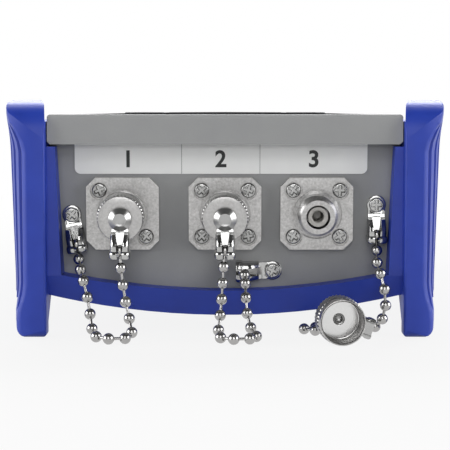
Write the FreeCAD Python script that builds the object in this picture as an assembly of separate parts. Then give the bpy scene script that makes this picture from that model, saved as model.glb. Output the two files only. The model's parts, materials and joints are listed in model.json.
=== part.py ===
# Handheld fibre optic tester lying on its back in a rubber boot, display up. Its connector end faces
# -Y: three receptacles on a leaning panel, two under screwed dust caps, the third open, with its cap
# lying on the floor in front. Millimetres, +Z up, the floor is z = 0, and the origin is on the floor
# under the middle of the whole.
import FreeCAD, Part
import math
import os

V = FreeCAD.Vector
X_AXIS = V(1, 0, 0)
Y_AXIS = V(0, 1, 0)
Z_AXIS = V(0, 0, 1)
FAR = 400.0                     # longer than the whole, for cuts that go right through

# Boot
BOOT_LENGTH = 196.0
WING_RISE = 3.0                 # the ears at the connector end above the cover
EAR_LENGTH = 9.0                # level top of an ear
EAR_FALL = 16.0                 # length over which it falls to the side's top
EAR_SPREAD = 0.14               # how fast an ear's inner face leaves the case
SIDE_DROP = 1.5                 # the sides' top below the cover's top
BOOT_WALL = 10.6                # from the case to the side's top, past the curved ends
BOOT_TAPER = 2.8                # how much each side draws in at the ends
TAPER_LENGTH = 26.0
SIDE_LEAN = 1.8                 # how much each side draws in towards the floor
EDGE_ROUND = 1.6                # along the sides' upper and lower edges
EDGE_TURNS = (0, 30, 50, 70, 90)  # degrees round such an edge, where its plans are drawn
BEVEL_TURNS = (30, 60)          # degrees of the slanted cuts that ease the low sides' edge
CORNER_ROUND = 1.5              # upright corners
WING_BOW_RATIO = 1.32           # radius of the wings' bowed fronts, of the wall's thickness
TOP_ROUND = 8.0                 # over the ends' upper edges
LIP_ROUND = 1.0                 # inner edges at the top and the floor
WING_ROUND = 0.6                # inner upright edges of the wings
BOOT_CLEARANCE = 0.2            # between the boot and the case in it
RIM_SETBACK = 2.0               # from the wings' front to the rim's front
RIM_LIP_BOTTOM = 1.0            # how far the rim covers the panel's lower edge
RIM_LIP_TOP = 1.6               # how far it covers the panel's sides at the top
RIM_DRAFT = 1.2                 # and how much further at the bottom
RIM_TOP_GAP = 0.5               # under the cover's bar
BELLY_LEAN = 28.0               # degrees, the rim's front leans back below the panel
BELLY_LEAN_TOP = 13.0
BELLY_BOTTOM = 4.0              # lowest line of the belly between the feet
BELLY_RADIUS = 154.0
FOOT_DEPTH = 4.0
FOOT_KNEE = 3.0                 # height where the foot starts to slope back
FOOT_SLOPE = 6.0                # a foot is this much deeper where it meets the side
SIDE_BOTTOM = 8.6               # lower edge of the sides between the feet
WING_SHARE = 0.42               # width of the wing's front beside its scoop, of the wall's thickness
SCOOP_BOTTOM = 3.4
SCOOP_TOP = 47.4
SCOOP_BLEND = 8.0               # height over which the scoop fades at its top and bottom
GROOVE_COUNT = 5                # at each corner
GROOVE_START = 1.5
GROOVE_WIDTH = 2.4
GROOVE_PITCH = 5.0
GROOVE_DEPTH = 1.1
GROOVE_FADE = 0.2               # how far the groove's floor runs out past the side at its ends

# Case
CASE_HALF_WIDTH = 37.6
CASE_BOTTOM = 8.6
CASE_ARC_RADIUS = 172.0
CASE_WALL = 2.5
PANEL_SETBACK = 8.0             # from the wings' front to the panel, at the ports' height
PANEL_LEAN = 4.0                # degrees, the panel's bottom lies further back
SPLIT_Z = 40.9                  # where the rear shell meets the front cover
COVER_HEIGHT = 6.3
COVER_SETBACK = 2.0             # from the wings' front to the cover's overhanging bar
COVER_ROUND = 0.7
COVER_CHAMFER = 0.6             # along the cover's lower side edges

# Ports, label strip and their screws
PORT_X = (-22.0, 0.0, 19.7)
PORT_Z = 26.0
FLANGE_SIZE = 15.6
FLANGE_CHAMFER = 2.0
FLANGE_THICKNESS = 1.4
FLANGE_SCREW_OFFSET = 5.0
FLANGE_CORNERS = (
    ((-1, 1), (1, -1)),
    ((-1, 1), (1, 1), (1, -1), (-1, -1)),
    ((-1, 1), (1, 1), (1, -1), (-1, -1)),
)
BOSS_RADIUS = 4.95
BOSS_HEIGHT = 0.3
BOSS_CONE = 0.6                 # how far its coned shoulder draws in
BOSS_GAP = 0.5                  # groove in the flange round the boss
BARREL_RADIUS = 4.0
BARREL_LENGTH = 5.8
BARREL_CHAMFER = 0.4
BARREL_BORE = 2.55
TAIL_RADIUS = 3.4
TAIL_LENGTH = 6.0
SLEEVE_RADIUS = 2.1
SLEEVE_BORE = 1.25
SLEEVE_CHAMFER = 0.35           # lead-in at its mouth
SLEEVE_SETBACK = 0.6            # behind the barrel's front
PART_FIT = 0.05                 # radial clearance of pieces that fit in each other
SCREW_RADIUS = 1.0
SCREW_HEAD_RADIUS = 1.6
SCREW_HEAD_HEIGHT = 0.85
SCREW_SHANK = 3.6
CROSS_WIDTH = 0.55
CROSS_LENGTH = 2.0
CROSS_DEPTH = 0.45
COUNTERBORE_CLEARANCE = 0.33
COUNTERBORE_DEPTH = 0.8
LABEL_EDGES = (-32.3, -9.3, 7.5, 30.6)
LABEL_BOTTOM = 34.4
LABEL_THICKNESS = 0.25
LABEL_GAP = 0.12
LABEL_CORNER = 1.3

# Dust caps, rivets and clips
CAP_RADIUS = 4.7
CAP_LENGTH = 7.8
CAP_END = 1.6                   # thickness of the closed end
CAP_BORE = 4.3
CAP_MOUTH_GAP = 0.2             # between the cap's mouth and the receptacle's boss
CAP_CHAMFER = 0.35
KNURL_RADIUS = 4.95
KNURL_DEPTH = 0.3
KNURL_TEETH = 46
KNURL_START = 1.3
KNURL_LENGTH = 4.4
RIVET_RADIUS = 1.0
RIVET_HEAD_RADIUS = 2.45
RIVET_FLAT_RADIUS = 1.35
RIVET_HEAD_HEIGHT = 1.2
CLIP_PLAY = 0.1                 # free play of the clip's eye each side
CLIP_SHEET = 0.5
CLIP_EYE_RADIUS = 2.05
CLIP_HOLE_PLAY = 0.3
CLIP_LENGTH = 8.0               # from the eye's centre to the end
CLIP_CAGE_START = 3.0
CLIP_CAGE_WIDTH = 4.0
CLIP_CAGE_HEIGHT = 3.7
CLIP_CAGE_ROUND = 1.0
CLIP_NECK_WIDTH = 2.8
CLIP_SLIT_WIDE = 1.9            # at the eye's end
CLIP_SLIT_NARROW = 0.9          # at the free end
CLIP_LUG_LENGTH = 1.5
CLIP_LUG_PROUD = 0.2
CLIP_BEAD_PLACE = 5.9           # where the chain's last bead sits, from the eye's centre
ANCHOR_X = (-33.0, 10.3, 32.6)
ANCHOR_Z = (25.7, 13.5, 27.8)
ANCHOR_TURN = (9.5, -90.0, 0.0)  # degrees from hanging straight down
ANCHOR_SHANK = 2.9
LOOSE_CAP_REACH = 13.5          # from the wings' front to the loose cap's mouth
LOOSE_CAP_X = 24.0
LOOSE_CAP_YAW = 4.0
LOOSE_CLIP_TURN = -70.4
FLOOR_GAP = 0.02                # under what lies loose on the floor

# Bead chains
BEAD_RADIUS = 1.2
BEAD_PITCH = 3.5
LINK_RADIUS = 0.35
BEAD_SIDES = 8
FRONT_Y = (LOOSE_CAP_REACH - BOOT_LENGTH) / 2
REAR_Y = FRONT_Y + BOOT_LENGTH
# Points between the two clips: x, distance behind the wings' front, z
CHAIN_ROUTES = (
    ((-31.4, 5.6, 16.5), (-30.8, 2.4, 14.6), (-30.0, -0.8, 12.8), (-29.2, -1.5, 10.2), (-28.6, -1.8, 7.0),
     (-28.1, -2.8, 4.0), (-27.6, -5.2, 1.8), (-26.6, -8.0, 1.25), (-24.2, -10.0, 1.25),
     (-21.3, -10.0, 1.25), (-19.3, -7.8, 1.25), (-19.4, -4.8, 2.5), (-20.2, -3.4, 5.2),
     (-20.9, -3.2, 8.5), (-21.4, -3.4, 12.0), (-21.8, -3.6, 15.5)),
    ((4.3, 3.3, 13.1), (4.3, 0.2, 11.3), (4.4, -1.4, 8.4), (4.6, -2.2, 5.4), (5.2, -3.8, 2.7),
     (6.6, -6.0, 1.3), (6.4, -9.0, 1.25), (3.8, -10.4, 1.25), (0.6, -10.2, 1.25), (-1.4, -8.0, 1.25),
     (-1.4, -5.0, 2.2), (-1.0, -3.6, 5.0), (-0.7, -3.2, 8.5), (-0.5, -3.3, 12.0), (-0.3, -3.6, 15.5)),
    ((32.6, 5.6, 18.4), (32.2, 3.0, 16.0), (32.7, -0.4, 14.0), (33.5, -1.6, 11.0), (33.9, -1.7, 7.9),
     (33.6, -0.6, 4.8), (32.6, 2.0, 2.2), (30.4, 5.0, 1.25), (26.8, 6.8, 1.25), (22.6, 7.4, 1.25),
     (18.8, 7.0, 1.25), (16.6, 5.0, 1.25), (17.8, 2.7, 1.25), (20.8, 2.3, 1.25), (24.4, 2.5, 1.25),
     (27.6, 2.0, 1.4), (29.5, -0.3, 2.4)),
)

# Display and keys in the cover
COVER_TOP_WALL = 2.5
WINDOW_HALF_WIDTH = 31.0
WINDOW_START = 9.0              # from the cover's front edge
WINDOW_LENGTH = 104.0
WINDOW_SEAT = 1.5               # depth of the window's pocket
WINDOW_CROWN = 0.5              # rise of its middle above its edges
WINDOW_FIT = 0.15
WINDOW_LEDGE = 4.0
DISPLAY_HALF_WIDTH = 28.8
DISPLAY_HEIGHT = 2.8
KEY_RISE = 1.0                  # above the cover
KEY_TRAVEL = 0.8
KEY_CLEARANCE = 0.3
KEY_FLANGE = 0.9                # how far its foot spreads under the cover
KEY_FLANGE_HEIGHT = 1.0
KEY_CORNER = 1.6
KEY_EDGE = 0.4                  # bevel round its top
KEY_STOP_GAP = 0.15             # left under a pressed key
# Name, x, distance behind the window's rear edge, width, depth
KEYS = (
    ("soft_key_1", -22.5, 9.0, 10.0, 6.0), ("soft_key_2", -7.5, 9.0, 10.0, 6.0),
    ("soft_key_3", 7.5, 9.0, 10.0, 6.0), ("soft_key_4", 22.5, 9.0, 10.0, 6.0),
    ("up_key", 0.0, 25.0, 11.0, 8.0), ("left_key", -13.5, 36.5, 8.0, 11.0),
    ("enter_key", 0.0, 36.5, 11.0, 9.0), ("right_key", 13.5, 36.5, 8.0, 11.0),
    ("down_key", 0.0, 48.0, 11.0, 8.0),
    ("menu_key", -25.5, 25.0, 9.0, 8.0), ("escape_key", 25.5, 25.0, 9.0, 8.0),
    ("test_key", -25.5, 48.0, 9.0, 8.0), ("power_key", 25.5, 48.0, 9.0, 8.0),
)
MAT_HEIGHT = 0.8
MAT_HALF_WIDTH = 30.5
BOARD_HEIGHT = 1.6
BOARD_HALF_WIDTH = 34.0
BOARD_CLEARANCE = 0.3           # round the posts that a board passes
KEYPAD_LENGTH = 56.0
KEYPAD_MARGIN = 3.0             # from the window's rear edge to the keypad board
KEYPAD_POST_INSET = 2.6         # posts in from the keypad board's edges

# Inside the rear shell
POST_RADIUS = 2.4
POST_HALF_PITCH = 31.4          # of the posts that carry the two boards
MAIN_BOARD_Z = 17.0
MAIN_BOARD_START = 14.0         # behind the panel
MAIN_BOARD_LENGTH = 88.0
MODULE_WIDTHS = (17.0, 15.0, 15.0)
MODULE_LENGTHS = (48.0, 26.0, 34.0)
MODULE_HEIGHTS = (15.0, 13.0, 13.0)
MODULE_START = 18.0             # behind the panel
BATTERY_Z = 13.6
BATTERY_HALF_WIDTH = 25.0
BATTERY_LENGTH = 62.0
BATTERY_HEIGHT = 20.0
BATTERY_REAR_GAP = 8.0
BATTERY_RIB_WIDTH = 3.0
BATTERY_ROUND = 2.0
CASE_SCREW_X = 32.6
CASE_SCREW_INSET = 17.5         # from the boot's ends
CASE_POST_RADIUS = 3.2
CASE_SCREW_RADIUS = 1.25
CASE_HEAD_RADIUS = 2.4
CASE_HEAD_HEIGHT = 2.0
CASE_HEAD_SEAT = 17.0           # height of the seat under the screw's head

BOOT_INNER = CASE_HALF_WIDTH + BOOT_CLEARANCE
BOOT_HALF_WIDTH = BOOT_INNER + BOOT_WALL
WING_BOW = WING_BOW_RATIO * BOOT_WALL
SCOOP_END = BOOT_INNER + WING_SHARE * BOOT_WALL
COVER_TOP = SPLIT_Z + COVER_HEIGHT
BOOT_HEIGHT = COVER_TOP + WING_RISE
SIDE_TOP = COVER_TOP - SIDE_DROP
COVER_INNER_TOP = COVER_TOP - COVER_TOP_WALL
PANEL_OUT = V(0, -math.cos(math.radians(PANEL_LEAN)), -math.sin(math.radians(PANEL_LEAN)))
MIDDLE_Y = (FRONT_Y + REAR_Y) / 2
WINDOW_FRONT_Y = FRONT_Y + COVER_SETBACK + WINDOW_START
WINDOW_REAR_Y = WINDOW_FRONT_Y + WINDOW_LENGTH
CAP_MOUTH = FLANGE_THICKNESS + BOSS_HEIGHT + CAP_MOUTH_GAP
KEY_FOOT_Z = COVER_INNER_TOP - KEY_FLANGE_HEIGHT
MAT_TOP = KEY_FOOT_Z - KEY_TRAVEL - KEY_STOP_GAP
KEYPAD_BOARD_TOP = MAT_TOP - MAT_HEIGHT


def block(x0, x1, y0, y1, z0, z1):
    return Part.makeBox(x1 - x0, y1 - y0, z1 - z0, V(x0, y0, z0))


def rod(radius, z0, z1, x=0.0, y=0.0):
    return Part.makeCylinder(radius, z1 - z0, V(x, y, z0))


def prism(points, along):
    wire = Part.makePolygon(points + [points[0]])
    return Part.Face(wire).extrude(along)


def fused(shapes):
    return shapes[0].multiFuse(shapes[1:]).removeSplitter()


def revolved(profile):
    # Turned piece about the local Z axis, from (radius, z) points
    wire = Part.makePolygon([V(r, 0, z) for r, z in profile + [profile[0]]])
    return Part.Face(wire).revolve(V(0, 0, 0), Z_AXIS, 360)


def rounded_block(half_width, half_depth, z0, z1, radius, x=0.0, y=0.0):
    solid = block(x - half_width, x + half_width, y - half_depth, y + half_depth, z0, z1)
    upright = [e for e in solid.Edges if abs(e.Vertexes[0].Z - e.Vertexes[-1].Z) > (z1 - z0) / 2]
    return solid.makeFillet(radius, upright)


def panel_y(z):
    return FRONT_Y + PANEL_SETBACK + (PORT_Z - z) * math.tan(math.radians(PANEL_LEAN))


def on_panel(x, z, out=0.0, turn=0.0):
    # Local Z points out of the panel, and local -Y hangs down it, turned about Z
    spin = FreeCAD.Rotation(Z_AXIS, turn)
    lean = FreeCAD.Rotation(X_AXIS, 90 + PANEL_LEAN)
    return FreeCAD.Placement(V(x, panel_y(z), z) + PANEL_OUT * out, lean * spin)


def loose_cap_place(turn=0.0):
    # The cap lies on its side with its mouth to -Y, and local Z runs to its closed end
    lie = FreeCAD.Rotation(Z_AXIS, LOOSE_CAP_YAW) * FreeCAD.Rotation(Z_AXIS, 180)
    lie = lie * FreeCAD.Rotation(X_AXIS, 90) * FreeCAD.Rotation(Z_AXIS, turn)
    mouth = V(LOOSE_CAP_X, FRONT_Y - LOOSE_CAP_REACH, KNURL_RADIUS + FLOOR_GAP)
    mouth.y += KNURL_RADIUS * math.sin(math.radians(LOOSE_CAP_YAW))
    return FreeCAD.Placement(mouth, lie)


def cap_place(index):
    if index == 2:
        return loose_cap_place()
    return on_panel(PORT_X[index], PORT_Z, CAP_MOUTH)


def cap_clip_place(index):
    seat = FreeCAD.Placement(V(0, 0, CAP_LENGTH + CLIP_PLAY), FreeCAD.Rotation())
    if index == 2:
        return loose_cap_place(LOOSE_CLIP_TURN) * seat
    return cap_place(index) * seat


def anchor_place(index):
    return on_panel(ANCHOR_X[index], ANCHOR_Z[index], 0.0, ANCHOR_TURN[index])


def placed(shape, place):
    moved = shape.copy()
    moved.Placement = place * shape.Placement
    return moved


# Boot

def scoop_share(z):
    # 1 in the scooped band of the sides, fading to 0 above and below it
    rise = min(z - SCOOP_BOTTOM, SCOOP_TOP - z) / SCOOP_BLEND
    rise = min(max(rise, 0.0), 1.0)
    return rise * rise * (3 - 2 * rise)


def meeting(x0, y0, r0, x1, y1, r1):
    # Where two circles meet, at the greater y
    gap = math.hypot(x1 - x0, y1 - y0)
    along = (gap ** 2 + r0 ** 2 - r1 ** 2) / (2 * gap)
    off = math.sqrt(r0 ** 2 - along ** 2)
    ux = (x1 - x0) / gap
    uy = (y1 - y0) / gap
    meets = [(x0 + along * ux + s * off * uy, y0 + along * uy - s * off * ux) for s in (1, -1)]
    return max(meets, key=lambda point: point[1])


def boot_outline(z, draw_in):
    # Plan of the boot at one height: straight sides, bowed in to its ends, with rounded corners
    share = scoop_share(z)
    half = BOOT_HALF_WIDTH - SIDE_LEAN * (1 - z / BOOT_HEIGHT) - draw_in
    end = half - BOOT_TAPER
    end += (SCOOP_END - draw_in - end) * share
    taper = half - end
    radius = (TAPER_LENGTH ** 2 + taper ** 2) / (2 * taper)
    tip_y = BOOT_LENGTH / 2
    knee_y = tip_y - TAPER_LENGTH
    bow_x = half - radius
    face_x = BOOT_INNER + WING_ROUND
    face_y = tip_y - WING_BOW
    corner_x, corner_y = meeting(bow_x, knee_y, radius - CORNER_ROUND,
                                 face_x, face_y, WING_BOW - CORNER_ROUND)
    side_turn = math.atan2(corner_y - knee_y, corner_x - bow_x)
    face_turn = math.atan2(corner_y - face_y, corner_x - face_x)

    def at(sx, sy, x, y, reach=0.0, angle=0.0):
        return V(sx * (x + reach * math.cos(angle)), MIDDLE_Y + sy * (y + reach * math.sin(angle)), z)

    pieces = []
    for s in (1, -1):
        pieces.append(Part.LineSegment(at(1, s, face_x, tip_y), at(-1, s, face_x, tip_y)))
        pieces.append(Part.LineSegment(at(s, 1, half, knee_y), at(s, -1, half, knee_y)))
        for t in (1, -1):
            join = at(s, t, bow_x, knee_y, radius, side_turn)
            bend = at(s, t, face_x, face_y, WING_BOW, face_turn)
            round_turn = (side_turn + face_turn) / 2
            knee = at(s, t, half, knee_y)
            pieces.append(Part.Arc(knee, at(s, t, bow_x, knee_y, radius, side_turn / 2), join))
            pieces.append(Part.Arc(join, at(s, t, corner_x, corner_y, CORNER_ROUND, round_turn), bend))
            pieces.append(Part.Arc(bend, at(s, t, face_x, face_y, WING_BOW, (face_turn + math.pi / 2) / 2),
                                   at(s, t, face_x, tip_y)))
    return Part.Wire(Part.__sortEdges__([p.toShape() for p in pieces]))


def scoop_levels():
    steps = [SCOOP_BLEND * share for share in (0, 0.25, 0.5, 0.75, 1)]
    return [SCOOP_BOTTOM + s for s in steps] + [SCOOP_TOP - s for s in reversed(steps)]


def boot_sides():
    # The boot's outer form, with its sides' edges rounded and scooped corners
    outlines = []
    edge = [EDGE_ROUND * (1 - math.cos(math.radians(turn))) for turn in EDGE_TURNS]
    levels = edge + scoop_levels() + [BOOT_HEIGHT - e for e in reversed(edge)]
    for z in levels:
        inset = max(EDGE_ROUND - min(z, BOOT_HEIGHT - z), 0.0)
        outlines.append(boot_outline(z, EDGE_ROUND - math.sqrt(EDGE_ROUND ** 2 - inset ** 2)))
    sides = Part.makeLoft(outlines, True, True)
    sides = sides.common(boot_side_view().extrude(X_AXIS * (2 * FAR)))
    return sides.cut(side_top_bevels())


def end_point(way, depth, z):
    # Point in the side view at a depth from the front end (-1) or the rear end (1)
    return V(-FAR, MIDDLE_Y + way * (BOOT_LENGTH / 2 - depth), z)


def upper_line(start):
    # The boot's upper line from end to end: a raised ear that falls to the low side behind it
    drop = BOOT_HEIGHT - SIDE_TOP
    reach = EAR_FALL / 2
    radius = (reach ** 2 + (drop / 2) ** 2) / drop
    half_turn = math.asin(reach / radius) / 2
    across = radius * math.sin(half_turn)
    rise = radius - radius * math.cos(half_turn)
    stop = EAR_LENGTH + EAR_FALL
    brow = end_point(-1, EAR_LENGTH, BOOT_HEIGHT)
    middle = end_point(-1, EAR_LENGTH + reach, BOOT_HEIGHT - drop / 2)
    low = end_point(-1, stop, SIDE_TOP)
    lines = [
        Part.LineSegment(end_point(-1, start, BOOT_HEIGHT), brow),
        Part.Arc(brow, end_point(-1, EAR_LENGTH + across, BOOT_HEIGHT - rise), middle),
        Part.Arc(middle, end_point(-1, stop - across, SIDE_TOP + rise), low),
        Part.LineSegment(low, end_point(1, start, SIDE_TOP)),
    ]
    return [line.toShape() for line in lines]


def boot_side_view():
    edges = upper_line(TOP_ROUND)
    slant = 1 - math.sqrt(0.5)
    for way, height in ((-1, BOOT_HEIGHT), (1, SIDE_TOP)):
        top = height - TOP_ROUND
        edges.append(Part.Arc(end_point(way, TOP_ROUND, height),
                              end_point(way, TOP_ROUND * slant, height - TOP_ROUND * slant),
                              end_point(way, 0, top)).toShape())
        edges.append(Part.makeLine(end_point(way, 0, top), end_point(way, 0, EDGE_ROUND)))
        edges.append(Part.Arc(end_point(way, 0, EDGE_ROUND),
                              end_point(way, EDGE_ROUND * slant, EDGE_ROUND * slant),
                              end_point(way, EDGE_ROUND, 0)).toShape())
    edges.append(Part.makeLine(end_point(-1, EDGE_ROUND, 0), end_point(1, EDGE_ROUND, 0)))
    return Part.Face(Part.Wire(Part.__sortEdges__(edges)))


def side_top_bevels():
    # Slanted cuts that ease the outer edge of the sides' upper line
    reach = -EDGE_ROUND
    edges = upper_line(reach)
    frame = [end_point(-1, reach, BOOT_HEIGHT), end_point(-1, reach, FAR), end_point(1, reach, FAR),
             end_point(1, reach, SIDE_TOP)]
    above = Part.Face(Part.Wire(Part.__sortEdges__(edges + Part.makePolygon(frame).Edges)))
    edge_x = BOOT_HALF_WIDTH - SIDE_LEAN * (1 - SIDE_TOP / BOOT_HEIGHT)
    cuts = []
    for degrees in BEVEL_TURNS:
        turn = math.radians(degrees)
        for side in (-1, 1):
            x = side * (edge_x - EDGE_ROUND + EDGE_ROUND * math.sin(turn))
            sheet = above.copy()
            sheet.translate(V(FAR + x, 0, EDGE_ROUND * math.cos(turn) - EDGE_ROUND))
            fall = V(side * math.cos(turn), 0, -math.sin(turn)) * BOOT_HEIGHT
            sheet.translate(fall * -0.5)
            cuts.append(sheet.extrude(fall))
    return cuts


def arc_section(half_width, lowest, radius, top, y):
    # Section with straight sides and a bottom that bows down to its lowest line
    side_z = lowest + radius - math.sqrt(radius ** 2 - half_width ** 2)
    bow = Part.Arc(V(-half_width, y, side_z), V(0, y, lowest), V(half_width, y, side_z)).toShape()
    sides = Part.makePolygon([V(half_width, y, side_z), V(half_width, y, top),
                              V(-half_width, y, top), V(-half_width, y, side_z)])
    return Part.Face(Part.Wire([bow] + sides.Edges))


def case_body(grow, top):
    # The case's outer form, grown or shrunk all round, up to the given height
    half = CASE_HALF_WIDTH + grow
    body = arc_section(half, CASE_BOTTOM - grow, CASE_ARC_RADIUS + grow, top, -FAR)
    body = body.extrude(Y_AXIS * (2 * FAR))
    reach = grow / math.cos(math.radians(PANEL_LEAN))
    low = panel_y(0) - reach
    high = panel_y(top) - reach
    ends = [V(-FAR, low, 0), V(-FAR, high, top), V(-FAR, 2 * MIDDLE_Y - high, top),
            V(-FAR, 2 * MIDDLE_Y - low, 0)]
    return body.common(prism(ends, X_AXIS * (2 * FAR)))


def side_grooves():
    fall = GROOVE_DEPTH + GROOVE_FADE
    floors = [boot_outline(z, fall * scoop_share(z) - GROOVE_FADE) for z in scoop_levels()]
    core = Part.makeLoft(floors, True, True)
    grooves = []
    for count in range(GROOVE_COUNT):
        near = FRONT_Y + GROOVE_START + count * GROOVE_PITCH
        for y in (near, 2 * MIDDLE_Y - near - GROOVE_WIDTH):
            grooves.append(block(-FAR, FAR, y, y + GROOVE_WIDTH, SCOOP_BOTTOM, SCOOP_TOP).cut(core))
    return grooves


def flared(half, inside, edge, radius, place):
    # A gap's profile, from inside to past an edge, that flares to round the edge on both sides
    way = 1 if edge > inside else -1
    turn = edge - way * radius
    wide = half + radius
    slant = radius * math.sqrt(0.5)

    def bend(side):
        return Part.Arc(place(side * half, turn), place(side * (wide - slant), turn + way * slant),
                        place(side * wide, edge)).toShape()

    right = Part.makePolygon([place(wide, edge), place(wide, edge + way * radius),
                              place(-wide, edge + way * radius), place(-wide, edge)])
    left = Part.makePolygon([place(-half, turn), place(-half, inside), place(half, inside),
                             place(half, turn)])
    edges = [bend(1)] + right.Edges + [bend(-1)] + left.Edges
    return Part.Face(Part.Wire(Part.__sortEdges__(edges)))


def rim_opening():
    top_half = CASE_HALF_WIDTH - RIM_LIP_TOP
    low_half = top_half - RIM_DRAFT
    lowest = CASE_BOTTOM + RIM_LIP_BOTTOM
    side_z = lowest + CASE_ARC_RADIUS - math.sqrt(CASE_ARC_RADIUS ** 2 - low_half ** 2)
    bow = Part.Arc(V(-low_half, -FAR, side_z), V(0, -FAR, lowest), V(low_half, -FAR, side_z)).toShape()
    sides = Part.makePolygon([V(low_half, -FAR, side_z), V(top_half, -FAR, SPLIT_Z),
                              V(-top_half, -FAR, SPLIT_Z), V(-low_half, -FAR, side_z)])
    return Part.Face(Part.Wire([bow] + sides.Edges)).extrude(Y_AXIS * (2 * FAR))


def boot():
    inner = BOOT_INNER
    rim_front = FRONT_Y + RIM_SETBACK

    def upright(across, along):
        return V(across, -FAR, along)

    def flat(across, along):
        return V(across, along, -FAR)

    def front_on(across, along):
        return V(across, FRONT_Y, along)

    over = flared(inner, SPLIT_Z - RIM_TOP_GAP, BOOT_HEIGHT, LIP_ROUND, upright).extrude(Y_AXIS * (2 * FAR))
    below = flared(inner, SPLIT_Z, 0.0, LIP_ROUND, upright).extrude(Y_AXIS * (2 * FAR))
    mouth = flared(inner, rim_front, FRONT_Y, WING_ROUND, flat).extrude(Z_AXIS * (2 * FAR))
    belly_drop = BELLY_LEAN_TOP * math.tan(math.radians(BELLY_LEAN))
    belly = prism([V(-inner, rim_front, BELLY_LEAN_TOP), V(-inner, rim_front + belly_drop, 0),
                   V(-inner, FRONT_Y - EDGE_ROUND, 0), V(-inner, FRONT_Y - EDGE_ROUND, BELLY_LEAN_TOP)],
                  X_AXIS * (2 * inner))
    ear_gap = flared(inner, SIDE_TOP, BOOT_HEIGHT, LIP_ROUND, front_on)
    ear_gaps = [ear_gap.extrude(V(s * EAR_SPREAD, 1, 0) * (EAR_LENGTH + EAR_FALL)) for s in (-1, 1)]
    under = arc_section(inner, BELLY_BOTTOM, BELLY_RADIUS, FAR, -FAR).extrude(Y_AXIS * (2 * FAR))
    foot_y = FRONT_Y + FOOT_DEPTH
    deep_y = foot_y + FOOT_SLOPE
    step = [V(-FAR, foot_y, -FAR), V(-FAR, foot_y, FOOT_KNEE), V(-FAR, deep_y, SIDE_BOTTOM)]
    far_step = [V(-FAR, 2 * MIDDLE_Y - p.y, p.z) for p in reversed(step)]
    feet_gap = prism(step + far_step, X_AXIS * (2 * FAR)).cut(block(-inner, inner, -FAR, FAR, -FAR, FAR))
    cuts = [mouth, belly]
    cuts += [cut.mirror(V(0, MIDDLE_Y, 0), Y_AXIS) for cut in cuts]
    cuts += ear_gaps
    cuts += [
        over,
        rim_opening(),
        case_body(BOOT_CLEARANCE, BOOT_HEIGHT),
        below.cut(under),
        feet_gap,
    ]
    return boot_sides().cut(cuts + side_grooves())


# Case halves

def post(x, y, radius, z0, z1):
    return rod(radius, z0, z1, x, y)


def case_screw_places():
    return [(x, y) for x in (-CASE_SCREW_X, CASE_SCREW_X)
            for y in (FRONT_Y + CASE_SCREW_INSET, REAR_Y - CASE_SCREW_INSET)]


def main_board_y():
    start = FRONT_Y + PANEL_SETBACK + MAIN_BOARD_START
    return start, start + MAIN_BOARD_LENGTH


def main_board_posts():
    start, stop = main_board_y()
    return [(x, y) for x in (-POST_HALF_PITCH, POST_HALF_PITCH)
            for y in (start + POST_RADIUS, stop - POST_RADIUS)]


def battery_y():
    stop = REAR_Y - PANEL_SETBACK - CASE_WALL - BATTERY_REAR_GAP
    return stop - BATTERY_LENGTH, stop


def front_panel_holes():
    holes = []
    for index, x in enumerate(PORT_X):
        place = on_panel(x, PORT_Z)
        holes.append(placed(rod(TAIL_RADIUS + PART_FIT, -2 * TAIL_LENGTH, TAIL_LENGTH), place))
        for sx, sy in FLANGE_CORNERS[index]:
            hole = rod(SCREW_RADIUS + PART_FIT, -2 * SCREW_SHANK, SCREW_SHANK,
                       sx * FLANGE_SCREW_OFFSET, sy * FLANGE_SCREW_OFFSET)
            holes.append(placed(hole, place))
    for index in range(len(ANCHOR_X)):
        hole = rod(SCREW_RADIUS + PART_FIT, -2 * ANCHOR_SHANK, ANCHOR_SHANK)
        holes.append(placed(hole, anchor_place(index)))
    return holes


def rear_shell():
    outside = case_body(0, SPLIT_Z)
    inside = case_body(-CASE_WALL, SPLIT_Z + CASE_WALL)
    adds = [outside.cut(inside)]
    for x, y in case_screw_places():
        adds.append(post(x, y, CASE_POST_RADIUS, 0, SPLIT_Z).common(outside))
    for x, y in main_board_posts():
        adds.append(post(x, y, POST_RADIUS, 0, MAIN_BOARD_Z).common(outside))
    y0, y1 = battery_y()
    for y in (y0 + BATTERY_RIB_WIDTH, y1 - 2 * BATTERY_RIB_WIDTH):
        rib = block(-BATTERY_HALF_WIDTH, BATTERY_HALF_WIDTH, y, y + BATTERY_RIB_WIDTH, 0, BATTERY_Z)
        adds.append(rib.common(outside))
    cuts = front_panel_holes()
    for x, y in case_screw_places():
        cuts.append(rod(CASE_SCREW_RADIUS + PART_FIT, 0, FAR, x, y))
        cuts.append(rod(CASE_HEAD_RADIUS + PART_FIT, 0, CASE_HEAD_SEAT, x, y))
    for x, y in main_board_posts():
        cuts.append(rod(SCREW_RADIUS + PART_FIT, MAIN_BOARD_Z - SCREW_SHANK, FAR, x, y))
    return fused(adds).cut(cuts)


def keypad_y():
    start = WINDOW_REAR_Y + KEYPAD_MARGIN
    return start, start + KEYPAD_LENGTH


def keypad_posts():
    start, stop = keypad_y()
    return [(x, y) for x in (-POST_HALF_PITCH, POST_HALF_PITCH)
            for y in (start + KEYPAD_POST_INSET, stop - KEYPAD_POST_INSET)]


def window_blank(fit, z0):
    half = WINDOW_HALF_WIDTH + fit
    rise = COVER_TOP + WINDOW_CROWN
    radius = (WINDOW_HALF_WIDTH ** 2 + WINDOW_CROWN ** 2) / (2 * WINDOW_CROWN)
    slab = block(-half, half, WINDOW_FRONT_Y - fit, WINDOW_REAR_Y + fit, z0, rise)
    crown = Part.makeCylinder(radius, 2 * FAR, V(0, -FAR, rise - radius), Y_AXIS)
    return slab, crown


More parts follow.
